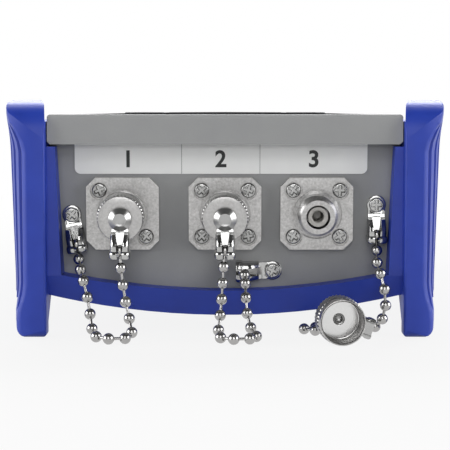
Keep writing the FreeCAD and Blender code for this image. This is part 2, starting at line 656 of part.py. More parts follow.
def front_cover():
    half = CASE_HALF_WIDTH
    front = FRONT_Y + COVER_SETBACK
    rear = REAR_Y - COVER_SETBACK
    outside = block(-half, half, front, rear, SPLIT_Z, COVER_TOP)
    outside = outside.makeFillet(COVER_ROUND, [e for e in outside.Edges if e.BoundBox.ZMin > SPLIT_Z + 0.1])
    low = [e for e in outside.Edges
           if e.BoundBox.ZMax < SPLIT_Z + COVER_CHAMFER and e.BoundBox.XLength < COVER_CHAMFER]
    outside = outside.makeChamfer(COVER_CHAMFER, low)
    inside = case_body(-CASE_WALL, COVER_INNER_TOP).common(
        block(-FAR, FAR, -FAR, FAR, SPLIT_Z, COVER_INNER_TOP))
    body = outside.cut(inside)
    adds = [body]
    for x, y in case_screw_places():
        adds.append(post(x, y, CASE_POST_RADIUS, SPLIT_Z, COVER_TOP - CASE_WALL / 2).common(outside))
    for x, y in keypad_posts():
        adds.append(post(x, y, POST_RADIUS, KEYPAD_BOARD_TOP, COVER_TOP - CASE_WALL / 2))
    pocket, _ = window_blank(WINDOW_FIT, COVER_TOP - WINDOW_SEAT)
    ledge = WINDOW_LEDGE
    sight = block(-WINDOW_HALF_WIDTH + ledge, WINDOW_HALF_WIDTH - ledge, WINDOW_FRONT_Y + ledge,
                  WINDOW_REAR_Y - ledge, SPLIT_Z, FAR)
    cuts = [pocket, sight]
    for name, x, y, width, depth in KEYS:
        cuts.append(rounded_block(width / 2 + KEY_CLEARANCE, depth / 2 + KEY_CLEARANCE, SPLIT_Z, FAR,
                                  KEY_CORNER + KEY_CLEARANCE, x, WINDOW_REAR_Y + y))
    for x, y in case_screw_places():
        cuts.append(rod(CASE_SCREW_RADIUS + PART_FIT, 0, COVER_INNER_TOP, x, y))
    for x, y in keypad_posts():
        cuts.append(rod(SCREW_RADIUS + PART_FIT, 0, KEYPAD_BOARD_TOP + SCREW_SHANK, x, y))
    return fused(adds).cut(cuts)


# Display, keys and the electronics inside

def display_window():
    slab, crown = window_blank(0, COVER_TOP - WINDOW_SEAT)
    return slab.common(crown)


def display_module():
    y0 = WINDOW_FRONT_Y + WINDOW_FIT
    y1 = WINDOW_REAR_Y - WINDOW_FIT
    return block(-DISPLAY_HALF_WIDTH, DISPLAY_HALF_WIDTH, y0, y1,
                 COVER_INNER_TOP - DISPLAY_HEIGHT, COVER_INNER_TOP)


def key(x, y, width, depth):
    mid_y = WINDOW_REAR_Y + y
    stem = rounded_block(width / 2, depth / 2, KEY_FOOT_Z, COVER_TOP + KEY_RISE, KEY_CORNER, x, mid_y)
    crown = [e for e in stem.Edges if e.BoundBox.ZMin > COVER_TOP]
    stem = stem.makeChamfer(KEY_EDGE, crown)
    foot = rounded_block(width / 2 + KEY_FLANGE, depth / 2 + KEY_FLANGE, KEY_FOOT_Z, COVER_INNER_TOP,
                         KEY_CORNER + KEY_FLANGE, x, mid_y)
    return fused([stem, foot])


def keypad_mat():
    y0, y1 = keypad_y()
    return block(-MAT_HALF_WIDTH + POST_RADIUS, MAT_HALF_WIDTH - POST_RADIUS, y0, y1,
                 KEYPAD_BOARD_TOP, MAT_TOP)


def keypad_board():
    y0, y1 = keypad_y()
    board = block(-BOARD_HALF_WIDTH, BOARD_HALF_WIDTH, y0, y1, KEYPAD_BOARD_TOP - BOARD_HEIGHT,
                  KEYPAD_BOARD_TOP)
    cuts = [rod(SCREW_RADIUS + PART_FIT, 0, FAR, x, y) for x, y in keypad_posts()]
    cuts += [rod(CASE_POST_RADIUS + BOARD_CLEARANCE, 0, FAR, x, y) for x, y in case_screw_places()]
    return board.cut(cuts)


def main_board():
    y0, y1 = main_board_y()
    board = block(-BOARD_HALF_WIDTH, BOARD_HALF_WIDTH, y0, y1, MAIN_BOARD_Z, MAIN_BOARD_Z + BOARD_HEIGHT)
    return board.cut([rod(SCREW_RADIUS + PART_FIT, 0, FAR, x, y) for x, y in main_board_posts()])


def port_module(index):
    base = MAIN_BOARD_Z + BOARD_HEIGHT
    y0 = FRONT_Y + PANEL_SETBACK + MODULE_START
    half = MODULE_WIDTHS[index] / 2
    x = PORT_X[index]
    return block(x - half, x + half, y0, y0 + MODULE_LENGTHS[index], base, base + MODULE_HEIGHTS[index])


def battery_pack():
    y0, y1 = battery_y()
    pack = block(-BATTERY_HALF_WIDTH, BATTERY_HALF_WIDTH, y0, y1, BATTERY_Z, BATTERY_Z + BATTERY_HEIGHT)
    return pack.makeFillet(BATTERY_ROUND, [e for e in pack.Edges if e.BoundBox.YLength > BATTERY_ROUND])


# Screws

def plain_screw(shank):
    # Head on z = 0 with the shank below it
    return fused([rod(SCREW_HEAD_RADIUS, 0, SCREW_HEAD_HEIGHT), rod(SCREW_RADIUS, -shank, 0)])


def cross_screw(shank):
    # The same with a bevelled head and a cross recess
    head = rod(SCREW_HEAD_RADIUS, 0, SCREW_HEAD_HEIGHT)
    rim = [e for e in head.Edges if e.BoundBox.ZMin > SCREW_HEAD_HEIGHT / 2]
    head = head.makeChamfer(SCREW_HEAD_HEIGHT / 4, rim)
    body = fused([head, rod(SCREW_RADIUS, -shank, 0)])
    half = CROSS_WIDTH / 2
    reach = CROSS_LENGTH / 2
    floor = SCREW_HEAD_HEIGHT - CROSS_DEPTH
    return body.cut([block(-half, half, -reach, reach, floor, FAR),
                     block(-reach, reach, -half, half, floor, FAR)])


def flange_screws(index):
    screws = []
    seat = FLANGE_THICKNESS - COUNTERBORE_DEPTH
    for sx, sy in FLANGE_CORNERS[index]:
        screw = cross_screw(SCREW_SHANK)
        screw.translate(V(sx * FLANGE_SCREW_OFFSET, sy * FLANGE_SCREW_OFFSET, seat))
        screws.append(screw)
    return placed(Part.makeCompound(screws), on_panel(PORT_X[index], PORT_Z))


def anchor_screw(index):
    screw = cross_screw(ANCHOR_SHANK + CLIP_SHEET)
    screw.translate(V(0, 0, CLIP_SHEET))
    return placed(screw, anchor_place(index))


def case_screws():
    screws = []
    head = CASE_HEAD_SEAT - CASE_HEAD_HEIGHT
    end = COVER_INNER_TOP - CASE_WALL / 2
    for x, y in case_screw_places():
        screws.append(fused([rod(CASE_HEAD_RADIUS, head, CASE_HEAD_SEAT, x, y),
                             rod(CASE_SCREW_RADIUS, (head + CASE_HEAD_SEAT) / 2, end, x, y)]))
    return Part.makeCompound(screws)


def board_screws():
    screws = []
    for x, y in main_board_posts():
        screw = plain_screw(SCREW_SHANK)
        screw.translate(V(x, y, MAIN_BOARD_Z + BOARD_HEIGHT))
        screws.append(screw)
    for x, y in keypad_posts():
        screw = plain_screw(SCREW_SHANK)
        screw.rotate(V(0, 0, 0), X_AXIS, 180)
        screw.translate(V(x, y, KEYPAD_BOARD_TOP - BOARD_HEIGHT))
        screws.append(screw)
    return Part.makeCompound(screws)


# Ports and labels

def port_flange(index):
    half = FLANGE_SIZE / 2
    plate = block(-half, half, -half, half, 0, FLANGE_THICKNESS)
    upright = [e for e in plate.Edges if e.BoundBox.ZLength > FLANGE_THICKNESS / 2]
    plate = plate.makeChamfer(FLANGE_CHAMFER, upright)
    boss_top = FLANGE_THICKNESS + BOSS_HEIGHT
    barrel_top = FLANGE_THICKNESS + BARREL_LENGTH
    turned = revolved([(0, -TAIL_LENGTH), (TAIL_RADIUS, -TAIL_LENGTH), (TAIL_RADIUS, FLANGE_THICKNESS / 2),
                       (BOSS_RADIUS, FLANGE_THICKNESS / 2), (BOSS_RADIUS, FLANGE_THICKNESS),
                       (BOSS_RADIUS - BOSS_CONE, boss_top), (BARREL_RADIUS, boss_top),
                       (BARREL_RADIUS, barrel_top - BARREL_CHAMFER),
                       (BARREL_RADIUS - BARREL_CHAMFER, barrel_top), (0, barrel_top)])
    groove = rod(BOSS_RADIUS + BOSS_GAP, FLANGE_THICKNESS / 2, FAR)
    cuts = [rod(BARREL_BORE, 0, FAR), rod(SLEEVE_RADIUS + PART_FIT, -FAR, FAR)]
    seat = FLANGE_THICKNESS - COUNTERBORE_DEPTH
    for sx, sy in FLANGE_CORNERS[index]:
        x = sx * FLANGE_SCREW_OFFSET
        y = sy * FLANGE_SCREW_OFFSET
        cuts.append(rod(SCREW_RADIUS + PART_FIT, -FAR, FAR, x, y))
        cuts.append(rod(SCREW_HEAD_RADIUS + COUNTERBORE_CLEARANCE, seat, FAR, x, y))
    return placed(fused([plate.cut(groove), turned]).cut(cuts), on_panel(PORT_X[index], PORT_Z))


def ferrule_sleeve(index):
    top = FLANGE_THICKNESS + BARREL_LENGTH - SLEEVE_SETBACK
    mouth = SLEEVE_BORE + SLEEVE_CHAMFER
    sleeve = revolved([(SLEEVE_BORE, -TAIL_LENGTH), (SLEEVE_RADIUS, -TAIL_LENGTH), (SLEEVE_RADIUS, top),
                       (mouth, top), (SLEEVE_BORE, top - SLEEVE_CHAMFER)])
    return placed(sleeve, on_panel(PORT_X[index], PORT_Z))


def port_label(index):
    # One section of the strip, with its two lower outer corners rounded on the end sections
    x0 = LABEL_EDGES[index] + LABEL_GAP / 2
    x1 = LABEL_EDGES[index + 1] - LABEL_GAP / 2
    middle = (LABEL_BOTTOM + SPLIT_Z) / 2
    lean = math.cos(math.radians(PANEL_LEAN))
    half = (SPLIT_Z - LABEL_GAP - LABEL_BOTTOM) / 2 / lean
    sheet = block(x0, x1, -half, half, 0, LABEL_THICKNESS)
    outer = {0: x0, 2: x1}.get(index)
    corners = [e for e in sheet.Edges
               if outer is not None and e.BoundBox.ZLength > LABEL_THICKNESS / 2
               and abs(e.Vertexes[0].X - outer) < LABEL_GAP and e.Vertexes[0].Y < 0]
    if corners:
        sheet = sheet.makeFillet(LABEL_CORNER, corners)
    return placed(sheet, on_panel(0, middle))


# Caps, clips and chains

def knurled_band():
    points = []
    steps = 2 * KNURL_TEETH
    for step in range(steps):
        radius = KNURL_RADIUS - (KNURL_DEPTH if step % 2 else 0)
        angle = 2 * math.pi * step / steps
        points.append(V(radius * math.cos(angle), radius * math.sin(angle), KNURL_START))
    return prism(points, Z_AXIS * KNURL_LENGTH)


def cap(index):
    chamfer = CAP_CHAMFER
    turned = revolved([(0, 0), (CAP_RADIUS - chamfer, 0), (CAP_RADIUS, chamfer),
                       (CAP_RADIUS, CAP_LENGTH - chamfer), (CAP_RADIUS - chamfer, CAP_LENGTH),
                       (0, CAP_LENGTH)])
    bored = fused([turned, knurled_band()])
    cuts = [rod(CAP_BORE, -FAR, CAP_LENGTH - CAP_END), rod(RIVET_RADIUS + PART_FIT, 0, FAR)]
    return placed(bored.cut(cuts), cap_place(index))


def cap_rivet(index):
    head = CAP_LENGTH + CLIP_SHEET + 2 * CLIP_PLAY
    tail = CAP_LENGTH - CAP_END
    rivet = revolved([(0, tail), (RIVET_RADIUS, tail), (RIVET_RADIUS, head), (RIVET_HEAD_RADIUS, head),
                      (RIVET_FLAT_RADIUS, head + RIVET_HEAD_HEIGHT), (0, head + RIVET_HEAD_HEIGHT)])
    return placed(rivet, cap_place(index))


def chain_clip(hole_radius):
    # Folded sheet: an eye, a neck and a split tube that holds the chain's last bead
    half = CLIP_CAGE_WIDTH / 2
    eye = rod(CLIP_EYE_RADIUS, 0, CLIP_SHEET)
    neck = block(-CLIP_NECK_WIDTH / 2, CLIP_NECK_WIDTH / 2, -CLIP_CAGE_START - CLIP_SHEET, 0, 0, CLIP_SHEET)
    tube = block(-half, half, -CLIP_LENGTH, -CLIP_CAGE_START, 0, CLIP_CAGE_HEIGHT)
    lug_half = half + CLIP_LUG_PROUD
    lug = block(-lug_half, lug_half, -CLIP_LENGTH, -CLIP_LENGTH + CLIP_LUG_LENGTH, 0,
                CLIP_CAGE_HEIGHT + CLIP_LUG_PROUD)
    forms = []
    for form in (tube, lug):
        along = [e for e in form.Edges
                 if e.BoundBox.YLength > CLIP_LUG_LENGTH / 2 and e.BoundBox.ZMin > CLIP_SHEET]
        forms.append(form.makeFillet(CLIP_CAGE_ROUND, along))
    hollow = block(-half + CLIP_SHEET, half - CLIP_SHEET, -CLIP_LENGTH + CLIP_SHEET,
                   -CLIP_CAGE_START + CLIP_SHEET, CLIP_SHEET, CLIP_CAGE_HEIGHT - CLIP_SHEET)
    wide = CLIP_SLIT_WIDE / 2
    narrow = CLIP_SLIT_NARROW / 2
    slit = prism([V(-narrow, -CLIP_LENGTH - CLIP_SHEET, CLIP_CAGE_HEIGHT / 2 - narrow),
                  V(narrow, -CLIP_LENGTH - CLIP_SHEET, CLIP_CAGE_HEIGHT / 2 - narrow),
                  V(wide, -CLIP_CAGE_START + CLIP_SHEET, CLIP_CAGE_HEIGHT / 2 - narrow),
                  V(-wide, -CLIP_CAGE_START + CLIP_SHEET, CLIP_CAGE_HEIGHT / 2 - narrow)],
                 Z_AXIS * CLIP_CAGE_HEIGHT)
    return fused([eye, neck] + forms).cut([hollow, slit, rod(hole_radius, -FAR, FAR)])


def cap_clip(index):
    return placed(chain_clip(RIVET_RADIUS + CLIP_HOLE_PLAY), cap_clip_place(index))


def anchor_clip(index):
    return placed(chain_clip(SCREW_RADIUS + PART_FIT), anchor_place(index))


def smooth_route(points, steps=24):
    # Points along a smooth curve through all the given points
    line = []
    for i in range(len(points) - 1):
        before = points[max(i - 1, 0)]
        a = points[i]
        b = points[i + 1]
        after = points[min(i + 2, len(points) - 1)]
        for step in range(steps):
            t = step / steps
            line.append((a * 2 + (b - before) * t + (before * 2 - a * 5 + b * 4 - after) * t ** 2
                         + (a * 3 - before - b * 3 + after) * t ** 3) * 0.5)
    return line + [points[-1]]


def bead_centres(index):
    cage = V(0, -CLIP_BEAD_PLACE, CLIP_CAGE_HEIGHT / 2)
    points = [anchor_place(index).multVec(cage)]
    points += [V(x, FRONT_Y + y, z) for x, y, z in CHAIN_ROUTES[index]]
    points.append(cap_clip_place(index).multVec(cage))
    line = smooth_route(points)
    lengths = [0.0]
    for a, b in zip(line, line[1:]):
        lengths.append(lengths[-1] + (b - a).Length)
    count = round(lengths[-1] / BEAD_PITCH)
    centres = []
    at = 0
    for bead in range(count + 1):
        target = lengths[-1] * bead / count
        while at < len(line) - 2 and lengths[at + 1] < target:
            at += 1
        share = (target - lengths[at]) / (lengths[at + 1] - lengths[at])
        centres.append(line[at] + (line[at + 1] - line[at]) * share)
    return centres


def ring(centre, direction, along, radius):
    turn = FreeCAD.Rotation(Z_AXIS, direction)
    points = []
    for side in range(BEAD_SIDES):
        angle = 2 * math.pi * (side + 0.5) / BEAD_SIDES
        points.append(centre + turn.multVec(V(radius * math.cos(angle), radius * math.sin(angle), along)))
    return points


def bead_chain(index):
    # Faceted beads strung on straight links, skinned as one closed piece
    centres = bead_centres(index)
    pole = math.sqrt(BEAD_RADIUS ** 2 - LINK_RADIUS ** 2)
    shoulder = BEAD_RADIUS * math.sin(math.radians(35))
    belt = BEAD_RADIUS * math.cos(math.radians(35))
    rings = []
    for i, centre in enumerate(centres):
        direction = centres[min(i + 1, len(centres) - 1)] - centres[max(i - 1, 0)]
        for along, radius in ((-pole, LINK_RADIUS), (-shoulder, belt), (shoulder, belt), (pole, LINK_RADIUS)):
            rings.append(ring(centre, direction, along, radius))
    faces = [Part.Face(Part.makePolygon(end + [end[0]])) for end in (rings[0], rings[-1])]
    for near, far in zip(rings, rings[1:]):
        for side in range(BEAD_SIDES):
            after = (side + 1) % BEAD_SIDES
            a, b, c, d = near[side], near[after], far[after], far[side]
            faces.append(Part.Face(Part.makePolygon([a, b, c, a])))
            faces.append(Part.Face(Part.makePolygon([a, c, d, a])))
    shell = Part.makeShell(faces)
    shell.sewShape()
    solid = Part.Solid(shell)
    if solid.Volume < 0:
        solid.reverse()
    return solid


def nodes():
    yield "boot", boot()
    yield "front_cover", front_cover()
    yield "rear_shell", rear_shell()
    yield "display_window", display_window()
    yield "display_module", display_module()
    yield "keypad_mat", keypad_mat()
    yield "keypad_board", keypad_board()
    yield "main_board", main_board()
    yield "battery_pack", battery_pack()
    for index, name in enumerate(("otdr_module", "photodiode_module", "laser_module")):
        yield name, port_module(index)
    yield "case_screws", case_screws()
    yield "board_screws", board_screws()
    for name, x, y, width, depth in KEYS:
        yield name, key(x, y, width, depth)
    makers = {"port_label": port_label, "port_flange": port_flange, "ferrule_sleeve": ferrule_sleeve,
              "flange_screws": flange_screws, "cap": cap, "cap_rivet": cap_rivet, "cap_clip": cap_clip,
              "anchor_clip": anchor_clip, "anchor_screw": anchor_screw, "bead_chain": bead_chain}
    for name, make in makers.items():
        for index in range(3):
            yield f"{name}_{index + 1}", make(index)


os.makedirs("parts", exist_ok=True)
for node, shape in nodes():
    shape.exportStep(f"parts/{node}.step")
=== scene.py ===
# Looks of the handheld fibre optic tester: finishes for its solids, and finer pieces where they are plain.
import json
import math

import bpy
from mathutils import Matrix, Vector


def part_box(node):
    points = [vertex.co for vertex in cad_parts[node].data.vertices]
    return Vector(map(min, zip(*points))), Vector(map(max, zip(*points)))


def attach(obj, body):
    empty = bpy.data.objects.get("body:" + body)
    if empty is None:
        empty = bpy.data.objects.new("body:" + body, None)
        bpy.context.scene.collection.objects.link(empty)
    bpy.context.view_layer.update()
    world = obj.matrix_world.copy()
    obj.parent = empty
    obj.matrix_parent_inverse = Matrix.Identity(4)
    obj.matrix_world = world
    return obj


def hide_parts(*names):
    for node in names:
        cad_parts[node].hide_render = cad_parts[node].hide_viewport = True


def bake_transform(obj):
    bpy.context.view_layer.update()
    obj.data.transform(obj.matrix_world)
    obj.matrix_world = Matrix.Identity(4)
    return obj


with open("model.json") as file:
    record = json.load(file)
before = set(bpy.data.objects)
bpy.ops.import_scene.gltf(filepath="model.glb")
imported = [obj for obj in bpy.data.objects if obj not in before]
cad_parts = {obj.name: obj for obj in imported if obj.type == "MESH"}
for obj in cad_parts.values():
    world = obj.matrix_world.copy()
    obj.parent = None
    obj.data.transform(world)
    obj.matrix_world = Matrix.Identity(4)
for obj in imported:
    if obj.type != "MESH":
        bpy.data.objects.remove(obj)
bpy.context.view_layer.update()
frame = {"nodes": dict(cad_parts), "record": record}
NODES = frame["nodes"]
SCENE = bpy.context.scene
SCENE.view_settings.view_transform = "Standard"

# Sizes in millimetres, as the solids have them
MM = 0.001
FRONT_Y = -91.25                # front of the boot's wings
PANEL_SETBACK = 8.0
PANEL_LEAN = math.radians(4)
PORT_X = (-22.0, 0.0, 19.7)
PORT_Z = 26.0
FLANGE_THICKNESS = 1.4
FLANGE_SCREW_OFFSET = 5.0
FLANGE_SCREW_SEAT = 0.6
FLANGE_CORNERS = (((-1, 1), (1, -1)),
                  ((-1, 1), (1, 1), (1, -1), (-1, -1)),
                  ((-1, 1), (1, 1), (1, -1), (-1, -1)))
THREAD_PITCH = 0.75
LABEL_MIDDLES = (-20.8, -0.9, 19.05)
LABEL_Z = 37.5
PRINT_SEAT = 0.262              # of the numbers, in front of the panel
CAP_MOUTH = 1.9                 # in front of the panel
CAP_LENGTH = 7.8
CAP_CREST = 4.95                # radius over the knurl
LOOSE_CAP_X = 24.0
LOOSE_CAP_FRONT = 13.5          # in front of the boot's wings
LOOSE_CAP_HEIGHT = 4.97
LOOSE_CAP_YAW = math.radians(4)
LOOSE_CLIP_TURN = -70.4         # degrees, of the clip on the loose cap
CLIP_SHEET = 0.5
BEAD_RADIUS = 1.2
BEAD_PITCH = 3.5
COVER_TOP = 47.2
KEY_RISE = 0.45
CAMERA_DISTANCE = 322           # in front of the boot's wings
CAMERA_HEIGHT = 47.7
CAMERA_DIP = 4.216              # degrees below the level


# Camera and light

def make_camera():
    lens = bpy.data.cameras.new("camera")
    lens.lens = 122.64
    lens.sensor_width = 36
    lens.clip_start = 0.02
    camera = bpy.data.objects.new("camera", lens)
    SCENE.collection.objects.link(camera)
    camera.location = Vector((0, FRONT_Y - CAMERA_DISTANCE, CAMERA_HEIGHT)) * MM
    camera.rotation_euler = (math.radians(90 - CAMERA_DIP), 0, 0)
    SCENE.camera = camera


def make_lamp(name, place, target, size, power):
    light = bpy.data.lights.new(name, "AREA")
    light.shape = "RECTANGLE"
    light.size, light.size_y = size
    light.energy = power
    lamp = bpy.data.objects.new(name, light)
    SCENE.collection.objects.link(lamp)
    lamp.location = place
    lamp.rotation_euler = (Vector(target) - Vector(place)).to_track_quat("-Z", "Y").to_euler()


# Finishes

def hexed(code):
    # Linear colour from an sRGB hex code
    parts = [int(code[i:i + 2], 16) / 255 for i in (1, 3, 5)]
    return [p / 12.92 if p <= 0.04045 else ((p + 0.055) / 1.055) ** 2.4 for p in parts] + [1.0]


def add(tree, kind, **settings):
    # Adds one node. A socket among the settings is linked, the others go to its properties, its inputs or,
    # as stops, to its colour ramp
    node = tree.nodes.new("ShaderNode" + kind)
    for key, value in settings.items():
        if key == "stops":
            for stop, (at, colour) in zip(node.color_ramp.elements, value):
                stop.position = at
                stop.color = colour
        elif hasattr(node, key):
            setattr(node, key, value)
        else:
            socket = node.inputs[int(key[5:]) if key.startswith("input") else key.replace("_", " ")]
            if isinstance(value, bpy.types.NodeSocket):
                tree.links.new(value, socket)
            else:
                socket.default_value = value
    return node


def fresh_tree(owner):
    owner.use_nodes = True
    owner.node_tree.nodes.clear()
    return owner.node_tree


def finish(name, low, high, rough, grain, depth, drift=6.0, speckle=0.0, **sockets):
    # Colour and gloss that drift slowly over fine relief. Grain, depth and drift are in millimetres, and
    # speckle is the share of the fine grain in the colour
    made = bpy.data.materials.new(name)
    tree = fresh_tree(made)
    where = add(tree, "TexCoord").outputs["Object"]
    slow = add(tree, "TexNoise", Vector=where, Scale=1 / (drift * MM), Detail=3.0).outputs[0]
    fine = add(tree, "TexNoise", Vector=where, Scale=1 / (grain * MM), Detail=3.0, Roughness=0.6).outputs[0]
    mixed = add(tree, "Mix", data_type="FLOAT", Factor=speckle, A=slow, B=fine).outputs["Result"]
    colour = add(tree, "ValToRGB", Fac=mixed, stops=((0.3, hexed(low)), (0.7, hexed(high)))).outputs["Color"]
    gloss = add(tree, "MapRange", Value=mixed, To_Min=rough[0], To_Max=rough[1]).outputs["Result"]
    relief = add(tree, "Bump", Height=fine, Distance=depth * MM).outputs["Normal"]
    shader = add(tree, "BsdfPrincipled", Base_Color=colour, Roughness=gloss, Normal=relief, **sockets)
    add(tree, "OutputMaterial", Surface=shader.outputs["BSDF"])
    return made


MATERIALS = {
    # Thermoplastic rubber, moulded: an even blue with a satin gloss and the fine tooth of its mould
    "boot_rubber": finish("moulded_rubber", "#1C38A2", "#213EAC", (0.42, 0.5), 0.35, 0.008),
    # ABS, moulded in a spark-eroded tool: a fine matt sparkle all over
    "cover_plastic": finish("moulded_abs", "#9B9C9D", "#A0A1A1", (0.6, 0.68), 0.4, 0.02, speckle=0.3,
                            Specular_IOR_Level=0.25),
    # The same ABS in a darker grey
    "shell_plastic": finish("moulded_abs_dark", "#919293", "#979898", (0.52, 0.6), 0.4, 0.02, speckle=0.3),
    # Tinted acrylic with an anti-glare coat: black, with a soft haze and the faint waves of a moulded sheet
    "window_acrylic": finish("tinted_acrylic", "#0A0B0D", "#0D0E10", (0.4, 0.46), 25.0, 0.01,
                             Specular_IOR_Level=0.35),
    # Glass over the display's dark cells: smooth and almost black
    "display_glass": finish("display_glass", "#121518", "#15181B", (0.1, 0.14), 20.0, 0.002),
    # Silicone, moulded: matt, with a dusty fine grain
    "key_silicone": finish("moulded_silicone", "#2A2C30", "#303237", (0.6, 0.7), 0.25, 0.008),
    # Solder mask over copper: glossy green with the tracks' slight relief
    "circuit_board": finish("solder_mask", "#0E4A26", "#12552C", (0.3, 0.4), 1.2, 0.02),
    # Shrink film drawn over the cells: soft wide waves
    "battery_wrap": finish("shrink_film", "#1B1C20", "#222327", (0.3, 0.4), 8.0, 0.05),
    # Drawn steel cans: plain grey with a dull shine
    "module_case": finish("drawn_steel", "#A6A6A6", "#B2B2B2", (0.3, 0.38), 0.4, 0.004, Metallic=1.0),
    # Pressed steel, nickel plated: bright, with fine marks from the tool
    "screw_steel": finish("plated_screw_steel", "#9E9E9D", "#C0C0BF", (0.18, 0.3), 0.4, 0.01, Metallic=1.0),
    # Polyester print film: smooth and pale, with a soft shine
    "label_film": finish("polyester_film", "#ECEDEC", "#F0F1F0", (0.3, 0.38), 3.0, 0.003),
    # Brass, blasted and nickel plated: pale grey, grainy and satin
    "flange_nickel": finish("blasted_nickel", "#9D9C9B", "#CCCBCA", (0.3, 0.44), 0.5, 0.03, speckle=0.75,
                            Metallic=1.0),
    # Zirconia, ground: smooth and creamy
    "sleeve_ceramic": finish("ground_zirconia", "#B4B2AE", "#C0BEBA", (0.18, 0.25), 0.5, 0.003),
    # Brass, turned and nickel plated: satin, a little grainy
    "cap_nickel": finish("turned_nickel", "#A3A2A1", "#C8C7C6", (0.27, 0.38), 0.5, 0.016, speckle=0.6,
                         Metallic=1.0),
    # Brass, turned and nickel plated: smooth, with a soft shine
    "rivet_nickel": finish("bright_turned_nickel", "#A8A8A7", "#B8B8B7", (0.26, 0.32), 0.5, 0.004,
                           Metallic=1.0),
    # Spring steel sheet, folded and bright plated: mirror-like, slightly wavy
    "clip_steel": finish("folded_bright_steel", "#A6A6A5", "#C0C0BF", (0.1, 0.18), 0.9, 0.012, Metallic=1.0),
    # Steel balls, rolled and nickel plated: bright, a little worn
    "chain_nickel": finish("rolled_nickel", "#A3A2A1", "#B8B7B6", (0.18, 0.28), 0.6, 0.01, Metallic=1.0),
}
# The loose cap's floor, fresh from the lathe, with its fine rings: the cap's own nickel, smoother and made
# paler than the cap's outside. The paler colour is painted light that makes the floor deep inside the cap
# read bright
PAINTED_BRIGHT_FACED_NICKEL = finish("faced_nickel_painted_bright", "#DADAD9", "#E2E2E1", (0.14, 0.22), 0.5, 0.004, Metallic=1.0)
# Screen printing ink: matt near-black
PRINT_INK = finish("screen_print_ink", "#1E1F20", "#242526", (0.5, 0.6), 0.4, 0.002)
# Screen printing ink on the keys: pale grey
KEY_INK = finish("key_print_ink", "#A0A2A3", "#A9ABAC", (0.5, 0.6), 0.4, 0.002)


def dress_nodes():
    slots = {part["node"]: part["material_slot"] for part in frame["record"]["subparts"]}
    for name, node in NODES.items():
        node.data.materials.clear()
        node.data.materials.append(MATERIALS[slots[name]])


# Placing pieces

def on_panel(x, z, out=0.0, turn=0.0):
    # Local Z points out of the connector panel, and local -Y hangs down it
    y = FRONT_Y + PANEL_SETBACK + (PORT_Z - z) * math.tan(PANEL_LEAN)
    spot = Vector((x, y, z)) + Vector((0, -math.cos(PANEL_LEAN), -math.sin(PANEL_LEAN))) * out
    lean = Matrix.Rotation(math.radians(90) + PANEL_LEAN, 4, "X")
    return Matrix.Translation(spot) @ lean @ Matrix.Rotation(math.radians(turn), 4, "Z")


def loose_cap_place(turn=0.0):
    front = FRONT_Y - LOOSE_CAP_FRONT
    mouth = Vector((LOOSE_CAP_X, front + CAP_CREST * math.sin(LOOSE_CAP_YAW), LOOSE_CAP_HEIGHT))
    lie = Matrix.Rotation(LOOSE_CAP_YAW + math.pi, 4, "Z") @ Matrix.Rotation(math.radians(90), 4, "X")
    return Matrix.Translation(mouth) @ lie @ Matrix.Rotation(math.radians(turn), 4, "Z")


CAP_PLACES = [on_panel(x, PORT_Z, CAP_MOUTH) for x in PORT_X[:2]] + [loose_cap_place()]
CLIP_SEAT = Matrix.Translation((0, 0, CAP_LENGTH + 0.1))
CAP_CLIP_PLACES = [place @ CLIP_SEAT for place in CAP_PLACES[:2] + [loose_cap_place(LOOSE_CLIP_TURN)]]
ANCHOR_PLACES = [on_panel(-33.0, 25.7, 0, 9.5), on_panel(10.3, 13.5, 0, -90), on_panel(32.6, 27.8)]


def piece(name, forms, slot, body=None, node=None, material=None, sharp=35):
    # One mesh piece from several forms of points and faces in millimetres, smooth but for its sharp edges.
    # It rides on a body, or on the body of the node that it stands for
    verts = []
    faces = []
    for points, sides, place in forms:
        start = len(verts)
        verts.extend((place @ Vector(p)) * MM for p in points)
        faces.extend(tuple(start + i for i in side) for side in sides)
    mesh = bpy.data.meshes.new(name)
    mesh.from_pydata(verts, [], faces)
    mesh.validate()
    mesh.polygons.foreach_set("use_smooth", [True] * len(mesh.polygons))
    mesh.set_sharp_from_angle(angle=math.radians(sharp))
    mesh.materials.append(material or MATERIALS[slot])
    made = bpy.data.objects.new(name, mesh)
    SCENE.collection.objects.link(made)
    if node:
        bodies = frame["record"]["behaviour"]["bodies"]
        body = body or next(b for b, nodes in bodies.items() if node in nodes)
        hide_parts(node)
    if body:
        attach(made, body)
    return made


# Mesh forms

def ring_form(rows, close=False):
    # Faces between rows of equally many points
    count = len(rows[0])
    points = [p for row in rows for p in row]
    faces = []
    for row in range(len(rows) if close else len(rows) - 1):
        after = (row + 1) % len(rows)
        for i in range(count):
            j = (i + 1) % count
            faces.append((row * count + i, row * count + j, after * count + j, after * count + i))
    return points, faces


def lathe(profile, count, close=False):
    # Turned about local Z from (radius, z) points
    rows = []
    for radius, z in profile:
        turns = [2 * math.pi * i / count for i in range(count)]
        rows.append([(radius * math.cos(a), radius * math.sin(a), z) for a in turns])
    return ring_form(rows, close)


def swept(sections):
    # A closed bar from sections of equally many points, with flat ends
    points, faces = ring_form(sections)
    count = len(sections[0])
    first = tuple(reversed(range(count)))
    last = tuple(range(len(points) - count, len(points)))
    return points, faces + [first, last]


def flat_shape(outline, z0, z1):
    return swept([[(x, y, z) for x, y in outline] for z in (z0, z1)])


def easing(value):
    value = min(max(value, 0.0), 1.0)
    return value * value * (3 - 2 * value)


# Bead chains

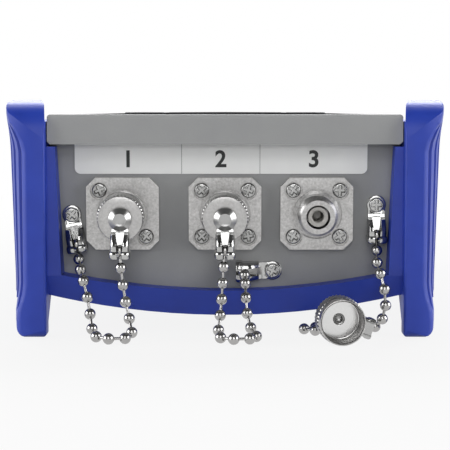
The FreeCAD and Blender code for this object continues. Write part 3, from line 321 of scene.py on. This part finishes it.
CHAIN_ROUTES = (
    ((-31.4, 5.6, 16.5), (-30.8, 2.4, 14.6), (-30.0, -0.8, 12.8), (-29.2, -1.5, 10.2), (-28.6, -1.8, 7.0),
     (-28.1, -2.8, 4.0), (-27.6, -5.2, 1.8), (-26.6, -8.0, 1.25), (-24.2, -10.0, 1.25),
     (-21.3, -10.0, 1.25), (-19.3, -7.8, 1.25), (-19.4, -4.8, 2.5), (-20.2, -3.4, 5.2),
     (-20.9, -3.2, 8.5), (-21.4, -3.4, 12.0), (-21.8, -3.6, 15.5)),
    ((4.3, 3.3, 13.1), (4.3, 0.2, 11.3), (4.4, -1.4, 8.4), (4.6, -2.2, 5.4), (5.2, -3.8, 2.7),
     (6.6, -6.0, 1.3), (6.4, -9.0, 1.25), (3.8, -10.4, 1.25), (0.6, -10.2, 1.25), (-1.4, -8.0, 1.25),
     (-1.4, -5.0, 2.2), (-1.0, -3.6, 5.0), (-0.7, -3.2, 8.5), (-0.5, -3.3, 12.0), (-0.3, -3.6, 15.5)),
    ((32.6, 5.6, 18.4), (32.2, 3.0, 16.0), (32.7, -0.4, 14.0), (33.5, -1.6, 11.0), (33.9, -1.7, 7.9),
     (33.6, -0.6, 4.8), (32.6, 2.0, 2.2), (30.4, 5.0, 1.25), (26.8, 6.8, 1.25), (22.6, 7.4, 1.25),
     (18.8, 7.0, 1.25), (16.6, 5.0, 1.25), (17.8, 2.7, 1.25), (20.8, 2.3, 1.25), (24.4, 2.5, 1.25),
     (27.6, 2.0, 1.4), (29.5, -0.3, 2.4)),
)
# Where each chain changes from the housing to the cap's clip
CHAIN_BLENDS = (((-27.4, 0, 0), (-20.3, 0, 0.57)), ((2.9, 0, 0), (-1.4, 0, 0.43)), None)
CLIP_BEAD = Vector((0, -6.4, 1.7))   # the chain's last bead in its clip


def route_line(index):
    # Points along a smooth line through the chain's route, from clip to clip
    route = [ANCHOR_PLACES[index] @ CLIP_BEAD]
    route += [Vector((x, FRONT_Y + y, z)) for x, y, z in CHAIN_ROUTES[index]]
    route.append(CAP_CLIP_PLACES[index] @ CLIP_BEAD)
    curve = bpy.data.curves.new("route", "CURVE")
    curve.dimensions = "3D"
    curve.resolution_u = 24
    spline = curve.splines.new("NURBS")
    spline.points.add(len(route) - 1)
    for point, spot in zip(spline.points, route):
        point.co = (*spot, 1.0)
    spline.use_endpoint_u = True
    spline.order_u = 3
    holder = bpy.data.objects.new("route", curve)
    line = [v.co.copy() for v in bpy.data.meshes.new_from_object(holder).vertices]
    bpy.data.objects.remove(holder)
    return line


def spaced(line, pitch):
    reach = [0.0]
    for a, b in zip(line, line[1:]):
        reach.append(reach[-1] + (b - a).length)
    count = round(reach[-1] / pitch)
    spots = []
    at = 0
    for step in range(count + 1):
        target = reach[-1] * step / count
        while at < len(line) - 2 and reach[at + 1] < target:
            at += 1
        share = (target - reach[at]) / (reach[at + 1] - reach[at])
        spots.append(line[at].lerp(line[at + 1], share))
    return spots


def rolled_ball():
    # Drawn in to a small hole at each end, where the link comes out
    profile = []
    for step in range(13):
        a = math.radians(-74 + 148 * step / 12)
        profile.append((BEAD_RADIUS * math.cos(a), BEAD_RADIUS * math.sin(a)))
    tip = profile[-1][1]
    return lathe([(0.12, -tip + 0.12)] + profile + [(0.12, tip - 0.12)], 24)


def bead_chain(index):
    spots = spaced(route_line(index), BEAD_PITCH)
    forms = []
    ball = rolled_ball()
    for i, spot in enumerate(spots):
        along = spots[min(i + 1, len(spots) - 1)] - spots[max(i - 1, 0)]
        forms.append((*ball, Matrix.Translation(spot) @ along.to_track_quat("Z", "Y").to_matrix().to_4x4()))
    for a, b in zip(spots, spots[1:]):
        link = lathe([(0.3, 0.7), (0.3, (b - a).length - 0.7)], 12)
        forms.append((*link, Matrix.Translation(a) @ (b - a).to_track_quat("Z", "Y").to_matrix().to_4x4()))
    blend = CHAIN_BLENDS[index]
    made = piece(f"chain_{index + 1}", forms, "chain_nickel", None if blend else "housing")
    if blend:
        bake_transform(made)
    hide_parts(f"bead_chain_{index + 1}")


# Dust caps

KNURL_TEETH = 40
KNURL_START = 2.9               # from the cap's mouth
KNURL_LENGTH = 4.2
KNURL_DEPTH = 0.55
KNURL_TOOTH = (1, 1, 0.15, 0, 0, 0.15)  # shares of the depth round one tooth
KNURL_SLANT = math.radians(5)   # turn of the knurl for each millimetre along the cap


def knurled_cap(index):
    # Turned, with a slanted rolled knurl outside and a fine thread inside. The profile's points are radius,
    # height over the mouth and depth of the knurl
    profile = [(1.02, 6.2, 0), (4.25, 6.2, 0)]
    for turn in range(7):
        z = 5.5 - THREAD_PITCH * turn
        profile += [(4.38, z, 0), (4.24, z - 0.19, 0), (4.24, z - 0.32, 0), (4.38, z - 0.5, 0)]
    profile += [(4.4, 0.25, 0), (4.45, 0.05, 0), (4.5, 0, 0), (4.6, 0, 0), (4.67, 0.03, 0), (4.7, 0.1, 0),
                (4.7, 2.6, 0), (4.72, 2.7, 0)]
    profile += [(CAP_CREST, KNURL_START + KNURL_LENGTH * i / 14, KNURL_DEPTH) for i in range(15)]
    profile += [(4.72, 7.3, 0), (4.72, 7.65, 0), (4.67, 7.76, 0), (4.55, CAP_LENGTH, 0), (3.2, CAP_LENGTH, 0),
                (1.02, CAP_LENGTH, 0)]
    count = KNURL_TEETH * len(KNURL_TOOTH)
    rows = []
    for radius, z, depth in profile:
        row = []
        for i in range(count):
            a = 2 * math.pi * i / count + KNURL_SLANT * z
            r = radius - depth * KNURL_TOOTH[i % len(KNURL_TOOTH)]
            row.append((r * math.cos(a), r * math.sin(a), z))
        rows.append(row)
    forms = [(*ring_form(rows, close=True), CAP_PLACES[index])]
    piece(f"knurled_cap_{index + 1}", forms, "cap_nickel", node=f"cap_{index + 1}")


def loose_cap_inside():
    # The rings of the tool on the loose cap's floor, in the paler nickel that is painted light to brighten
    # the floor
    profile = [(1.25 + 0.06 * i, 6.12 - 0.009 * (i % 2)) for i in range(48)]
    profile += [(4.16, 6.05), (4.28, 5.9), (4.32, 5.95), (4.32, 6.3), (1.25, 6.3)]
    piece("loose_cap_inside", [(*lathe(profile, 128, close=True), CAP_PLACES[2])], "cap_nickel", "cap_3",
          material=PAINTED_BRIGHT_FACED_NICKEL)


def cap_rivet(index):
    # Hollow end rolled over inside the cap, and a coned head outside over the clip's eye
    head = CAP_LENGTH + CLIP_SHEET + 0.2
    profile = [(0.02, 7.3), (0.4, 7.26), (0.68, 7.1), (0.78, 6.8), (0.8, 6.1), (0.87, 5.95), (1.0, 5.9),
               (1.13, 5.96), (1.2, 6.08), (1.2, 6.19), (1.0, 6.2), (1.0, head), (2.36, head),
               (2.44, head + 0.06), (2.42, head + 0.14), (1.42, head + 1.15), (1.36, head + 1.2),
               (1.2, head + 1.2), (1.1, head + 1.16), (0.5, head + 1.14), (0.02, head + 1.14)]
    piece(f"rivet_{index + 1}", [(*lathe(profile, 64), CAP_PLACES[index])], "rivet_nickel",
          node=f"cap_rivet_{index + 1}", sharp=25)


# Chain clips

def clip_eye(hole):
    # The eye with its neck, one flat sheet with eased edges
    eye = 2.05
    neck_half = 1.85
    neck_end = 3.5
    ease = 0.1
    rows = [[] for _ in range(8)]
    for i in range(96):
        a = 2 * math.pi * i / 96
        reach = eye
        if math.sin(a) < -0.05:
            reach = max(eye, min(neck_half / max(abs(math.cos(a)), 1e-6), neck_end / -math.sin(a)))
        levels = ((hole, ease), (hole, CLIP_SHEET - ease), (hole + ease, CLIP_SHEET),
                  (reach - ease, CLIP_SHEET), (reach, CLIP_SHEET - ease), (reach, ease), (reach - ease, 0),
                  (hole + ease, 0))
        for row, (r, z) in zip(rows, levels):
            row.append((r * math.cos(a), r * math.sin(a), z))
    return ring_form(rows, close=True)


def clip_prong(side):
    # One folded side of the split tube, from stations of reach, height and how far a raised band stands
    # proud. It rises from the neck and has the band at its open end
    sections = []
    stations = [(3.0, 1.9, 0), (3.1, 1.98, 0), (3.5, 2.35, 0), (4.0, 2.82, 0), (4.5, 3.2, 0), (4.9, 3.38, 0),
                (5.4, 3.46, 0), (6.4, 3.5, 0), (6.5, 3.6, 0.1), (6.7, 3.7, 0.19), (7.0, 3.7, 0.24),
                (7.3, 3.7, 0.25), (7.6, 3.7, 0.22), (7.85, 3.7, 0.14), (7.97, 3.7, 0.04), (8.0, 3.7, -0.06)]
    for reach, top, proud in stations:
        slit = 0.95 - 0.1 * (reach - 3.0)
        outline = [(1.2, 0), (1.7, 0), (1.9 + proud, 0.1), (2.0 + proud, 0.4), (2.0 + proud, top - 1.2),
                   (1.93 + proud, top - 0.7), (1.7 + proud, top - 0.3 + proud / 2), (1.3, top - 0.05 + proud),
                   (slit, top + proud), (slit, top - 0.4), (1.2, top - 0.45), (1.48, top - 0.7),
                   (1.56, top - 1.2), (1.56, 0.5), (1.2, 0.45)]
        points = [(side * x, -reach, z) for x, z in outline]
        sections.append(points if side > 0 else list(reversed(points)))
    return swept(sections)


def clip_strip(stations):
    # A strip from (reach, half width, lower z, upper z) stations
    sections = []
    for reach, half, low, high in stations:
        corners = ((-half, low), (half, low), (half, high), (-half, high))
        sections.append([(x, -reach, z) for x, z in corners])
    return swept(sections)


def chain_clip(name, node, hole, place):
    tongue = ((1.8, 0.9, 0.1, 0.5), (2.3, 0.9, 0.2, 0.55), (3.0, 0.86, 0.54, 0.86), (3.8, 0.77, 0.85, 1.16),
              (4.6, 0.66, 1.15, 1.46), (5.4, 0.5, 1.44, 1.74))
    shoulder = ((1.9, 1.7, 0.1, 0.5), (2.3, 1.75, 0.15, 0.55), (3.0, 1.8, 0.45, 0.84), (3.1, 1.8, 0.45, 0.8))
    base = ((3.3, 1.5, 0, 0.45), (7.9, 1.5, 0, 0.45))
    forms = [clip_eye(hole), clip_prong(1), clip_prong(-1)]
    forms += [clip_strip(stations) for stations in (tongue, shoulder, base)]
    piece(name, [(*form, place) for form in forms], "clip_steel", node=node, sharp=50)


# Screws

def screw(shank, turn):
    # Pan head on z = 0 with a pressed cross recess, and its shank below
    count = 96
    flat = 1.2                  # radius where the head's edge starts to round
    arm_half = 0.4
    recess = 0.8
    radii = [0.02] + [0.1 * i for i in range(1, 13)] + [1.28, 1.38, 1.46, 1.53, 1.58, 1.6]
    rows = []
    for r in radii:
        row = []
        for i in range(count):
            a = 2 * math.pi * i / count
            x = r * math.cos(a - turn)
            y = r * math.sin(a - turn)
            top = 0.85 - 0.08 * min(r / flat, 1) ** 2
            if r > flat:
                top = 0.3 + 0.47 * math.sqrt(max(1 - ((r - flat) / 0.4) ** 2, 0))
            arms = [easing((arm_half - abs(v)) / 0.15) * easing((flat - abs(u)) / 0.2)
                    for u, v in ((x, y), (y, x))]
            row.append((r * math.cos(a), r * math.sin(a), top - recess * max(arms)))
        rows.append(row)
    for r, z in ((1.6, 0.0), (1.0, 0.0), (1.0, 0.3 - shank), (0.75, -shank), (0.02, -shank)):
        rows.append([(r * math.cos(2 * math.pi * i / count), r * math.sin(2 * math.pi * i / count), z)
                     for i in range(count)])
    points, faces = ring_form(rows)
    return points, [tuple(reversed(face)) for face in faces]


def flange_screws(index):
    forms = []
    for corner, (sx, sy) in enumerate(FLANGE_CORNERS[index]):
        spot = Matrix.Translation((sx * FLANGE_SCREW_OFFSET, sy * FLANGE_SCREW_OFFSET, FLANGE_SCREW_SEAT))
        turn = math.radians(22 + 31 * corner + 17 * index)
        forms.append((*screw(3.6, turn), on_panel(PORT_X[index], PORT_Z) @ spot))
    piece(f"port_screws_{index + 1}", forms, "screw_steel", node=f"flange_screws_{index + 1}", sharp=40)


def anchor_screw(index):
    place = ANCHOR_PLACES[index] @ Matrix.Translation((0, 0, CLIP_SHEET))
    piece(f"clip_screw_{index + 1}", [(*screw(3.4, math.radians(40 + 25 * index)), place)], "screw_steel",
          node=f"anchor_screw_{index + 1}", sharp=40)


# The receptacles' threads

def thread(index):
    # A fine screw thread round the barrel
    inner = 3.9
    root = 3.97
    height = 0.17
    start = FLANGE_THICKNESS + 0.7
    stop = FLANGE_THICKNESS + 5.35
    count = 96
    steps = round((stop - start) / THREAD_PITCH * 10)
    rows = [[] for _ in range(steps + 3)]
    for i in range(count):
        a = 2 * math.pi * i / count
        points = [(inner, start)]
        for step in range(steps + 1):
            z = start + (stop - start) * step / steps
            phase = (z / THREAD_PITCH - i / count) % 1.0
            crest = min(abs(phase - 0.5) * 4, 1.0)
            fade = easing(min(z - start, stop - z) / 0.3)
            points.append((root + height * (1 - crest) * fade, z))
        points.append((inner, stop))
        for row, (r, z) in zip(rows, points):
            row.append((r * math.cos(a), r * math.sin(a), z))
    forms = [(*ring_form(rows, close=True), on_panel(PORT_X[index], PORT_Z))]
    piece(f"port_thread_{index + 1}", forms, "flange_nickel", "housing", sharp=25)


def inner_ferrule(index):
    # The tester's own ferrule half-way down each sleeve, with its polished face
    profile = [(0.02, 2.62), (0.35, 2.61), (0.75, 2.57), (0.8, 2.5), (1.18, 2.1), (1.22, 2.0), (1.22, -5.8),
               (0.02, -5.8)]
    forms = [(*lathe(profile, 48), on_panel(PORT_X[index], PORT_Z))]
    piece(f"inner_ferrule_{index + 1}", forms, "sleeve_ceramic", "housing")


# Printing

def port_number(index):
    # A plain number on each label
    text = bpy.data.curves.new("number", "FONT")
    text.body = str(index + 1)
    text.align_x = "CENTER"
    text.align_y = "CENTER"
    text.size = 5.0
    text.offset = 0.12
    text.extrude = 0.012
    holder = bpy.data.objects.new("number", text)
    mesh = bpy.data.meshes.new_from_object(holder)
    points = [tuple(v.co) for v in mesh.vertices]
    faces = [tuple(p.vertices) for p in mesh.polygons]
    bpy.data.objects.remove(holder)
    place = on_panel(LABEL_MIDDLES[index], LABEL_Z, PRINT_SEAT)
    piece(f"port_number_{index + 1}", [(points, faces, place)], "label_film", "housing", material=PRINT_INK)


def ring_outline(outer, inner, first, last, count=40):
    # Outline of a ring's stretch between two angles in degrees
    turns = [math.radians(first + (last - first) * i / count) for i in range(count + 1)]
    out = [(outer * math.cos(a), outer * math.sin(a)) for a in turns]
    return out + [(inner * math.cos(a), inner * math.sin(a)) for a in reversed(turns)]


def bar_outline(half_width, half_height, y=0.0, turn=0.0):
    corners = [(-half_width, y - half_height), (half_width, y - half_height), (half_width, y + half_height),
               (-half_width, y + half_height)]
    c = math.cos(math.radians(turn))
    s = math.sin(math.radians(turn))
    return [(c * x - s * v, s * x + c * v) for x, v in corners]


def arrow_outline(turn):
    c = math.cos(math.radians(turn))
    s = math.sin(math.radians(turn))
    return [(c * x - s * y, s * x + c * y) for x, y in ((-1.9, -1.2), (1.9, -1.2), (0, 1.6))]


KEY_SIGNS = {
    "up_key": [arrow_outline(180)], "down_key": [arrow_outline(0)],
    "left_key": [arrow_outline(90)], "right_key": [arrow_outline(-90)],
    "enter_key": [ring_outline(2.2, 1.7, 0, 180), ring_outline(2.2, 1.7, 180, 360)],
    "menu_key": [bar_outline(1.9, 0.26, y) for y in (-1.2, 0, 1.2)],
    "escape_key": [bar_outline(2.0, 0.26, 0, 45), bar_outline(2.0, 0.26, 0, -45)],
    "test_key": [arrow_outline(90), bar_outline(1.6, 0.3, 2.1, 90)],
    "power_key": [ring_outline(2.0, 1.5, -60, 240), bar_outline(0.26, 1.1, -1.5)],
}
for soft_key in range(1, 5):
    KEY_SIGNS[f"soft_key_{soft_key}"] = [bar_outline(1.8, 0.28)]


def key_place(name, z):
    low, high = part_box(name)
    return Matrix.Translation(((low[0] + high[0]) / 2 / MM, (low[1] + high[1]) / 2 / MM, z))


def rounded_outline(half_width, half_depth, radius, z):
    points = []
    for quarter, (sx, sy) in enumerate(((1, 1), (-1, 1), (-1, -1), (1, -1))):
        for i in range(7):
            a = math.radians(90 * quarter + 15 * i)
            points.append((sx * (half_width - radius) + radius * math.cos(a),
                           sy * (half_depth - radius) + radius * math.sin(a), z))
    return points


def key_cap(name):
    # A soft key with a low eased crown, on its foot under the cover
    low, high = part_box(name)
    half_width = (high[0] - low[0]) / 2 / MM
    half_depth = (high[1] - low[1]) / 2 / MM
    foot = low[2] / MM
    foot_top = foot + 1.0
    foot_spread = 0.9
    corner = 2.5
    levels = [(0, foot), (0, foot_top), (foot_spread, foot_top)]
    for turn in range(0, 91, 15):
        a = math.radians(turn)
        levels.append((foot_spread + 0.5 * (1 - math.cos(a)), COVER_TOP + KEY_RISE - 0.4 * (1 - math.sin(a))))
    sections = [rounded_outline(half_width - inset, half_depth - inset, corner - inset, z)
                for inset, z in levels]
    piece(f"{name}_cap", [(*swept(sections), key_place(name, 0))], "key_silicone", node=name)


def key_sign(name):
    # Printed on the key's top, each stroke a hair higher than the one that it crosses
    place = key_place(name, COVER_TOP + KEY_RISE)
    forms = [(*flat_shape(outline, -0.02, 0.015 + 0.004 * i), place)
             for i, outline in enumerate(KEY_SIGNS[name])]
    piece(f"{name}_sign", forms, "key_silicone", name, material=KEY_INK)


# Floor, backdrop and room

def paper_floor():
    # Matt white paper that runs out of sight. What the camera and metals see of it goes to plain white away
    # from the object, and keeps the shadow near it
    mesh = bpy.data.meshes.new("floor")
    half = 3.0
    corners = [(-half, -half, 0), (half, -half, 0), (half, half, 0), (-half, half, 0)]
    mesh.from_pydata(corners, [], [(0, 1, 2, 3)])
    floor = bpy.data.objects.new("floor", mesh)
    SCENE.collection.objects.link(floor)
    paper = bpy.data.materials.new("white_paper")
    mesh.materials.append(paper)
    tree = fresh_tree(paper)
    where = add(tree, "TexCoord").outputs["Object"]
    away = add(tree, "VectorMath", operation="LENGTH", input0=where).outputs["Value"]
    plain = add(tree, "MapRange", Value=away, From_Min=0.12, From_Max=0.45, To_Min=0.88, To_Max=1.0)
    ray = add(tree, "LightPath").outputs
    mirror = add(tree, "Math", operation="ADD", input0=ray["Is Glossy Ray"],
                 input1=ray["Is Transmission Ray"])
    seen = add(tree, "Math", operation="ADD", use_clamp=True, input0=ray["Is Camera Ray"],
               input1=mirror.outputs[0])
    share = add(tree, "Math", operation="MULTIPLY", input0=seen.outputs[0], input1=plain.outputs["Result"])
    matt = add(tree, "BsdfDiffuse", Color=hexed("#A8A8A8"))
    white = add(tree, "Emission", Color=hexed("#FFFFFF"), Strength=1.0)
    mix = add(tree, "MixShader", Fac=share.outputs[0], input1=matt.outputs[0], input2=white.outputs[0])
    add(tree, "OutputMaterial", Surface=mix.outputs[0])


def studio_room():
    # White walls behind and beside the object, a dim ceiling and a dim room in front, for metal to mirror
    world = bpy.data.worlds.new("studio")
    SCENE.world = world
    tree = fresh_tree(world)
    way = add(tree, "SeparateXYZ", Vector=add(tree, "TexCoord").outputs["Generated"]).outputs
    walls = add(tree, "MapRange", Value=way["Y"], From_Min=-0.6, From_Max=0.2, To_Min=0.1, To_Max=0.7)
    ceiling = add(tree, "MapRange", Value=way["Z"], From_Min=0.3, From_Max=0.75, To_Min=1.0, To_Max=0.25)
    light = add(tree, "Math", operation="MULTIPLY", input0=walls.outputs["Result"],
                input1=ceiling.outputs["Result"])
    room = add(tree, "Background", Color=hexed("#FFFFFF"), Strength=light.outputs[0])
    white = add(tree, "Background", Color=hexed("#FFFFFF"), Strength=1.0)
    mix = add(tree, "MixShader", Fac=add(tree, "LightPath").outputs["Is Camera Ray"], input1=room.outputs[0],
              input2=white.outputs[0])
    add(tree, "OutputWorld", Surface=mix.outputs[0])


make_camera()
paper_floor()
studio_room()
make_lamp("left", (-0.9, -0.26, 0.31), (0, -0.09, 0.02), (0.8, 0.6), 6.5)
make_lamp("right", (0.9, -0.26, 0.31), (0, -0.09, 0.02), (0.8, 0.6), 6.5)
make_lamp("back", (0.0, 0.6, 0.62), (0, -0.03, 0.04), (1.0, 0.35), 14.0)
make_lamp("front", (0.0, -0.8, 0.5), (0, -0.09, 0.02), (0.4, 0.25), 1.1)
make_lamp("fill", (0.0, -0.95, 0.22), (0, -0.09, 0.02), (0.5, 0.2), 1.15)

dress_nodes()
for number in range(3):
    bead_chain(number)
    knurled_cap(number)
    cap_rivet(number)
    chain_clip(f"cap_chain_clip_{number + 1}", f"cap_clip_{number + 1}", 1.3, CAP_CLIP_PLACES[number])
    chain_clip(f"panel_chain_clip_{number + 1}", f"anchor_clip_{number + 1}", 1.05, ANCHOR_PLACES[number])
    flange_screws(number)
    anchor_screw(number)
    thread(number)
    inner_ferrule(number)
    port_number(number)
loose_cap_inside()
for key_name in KEY_SIGNS:
    key_cap(key_name)
    key_sign(key_name)
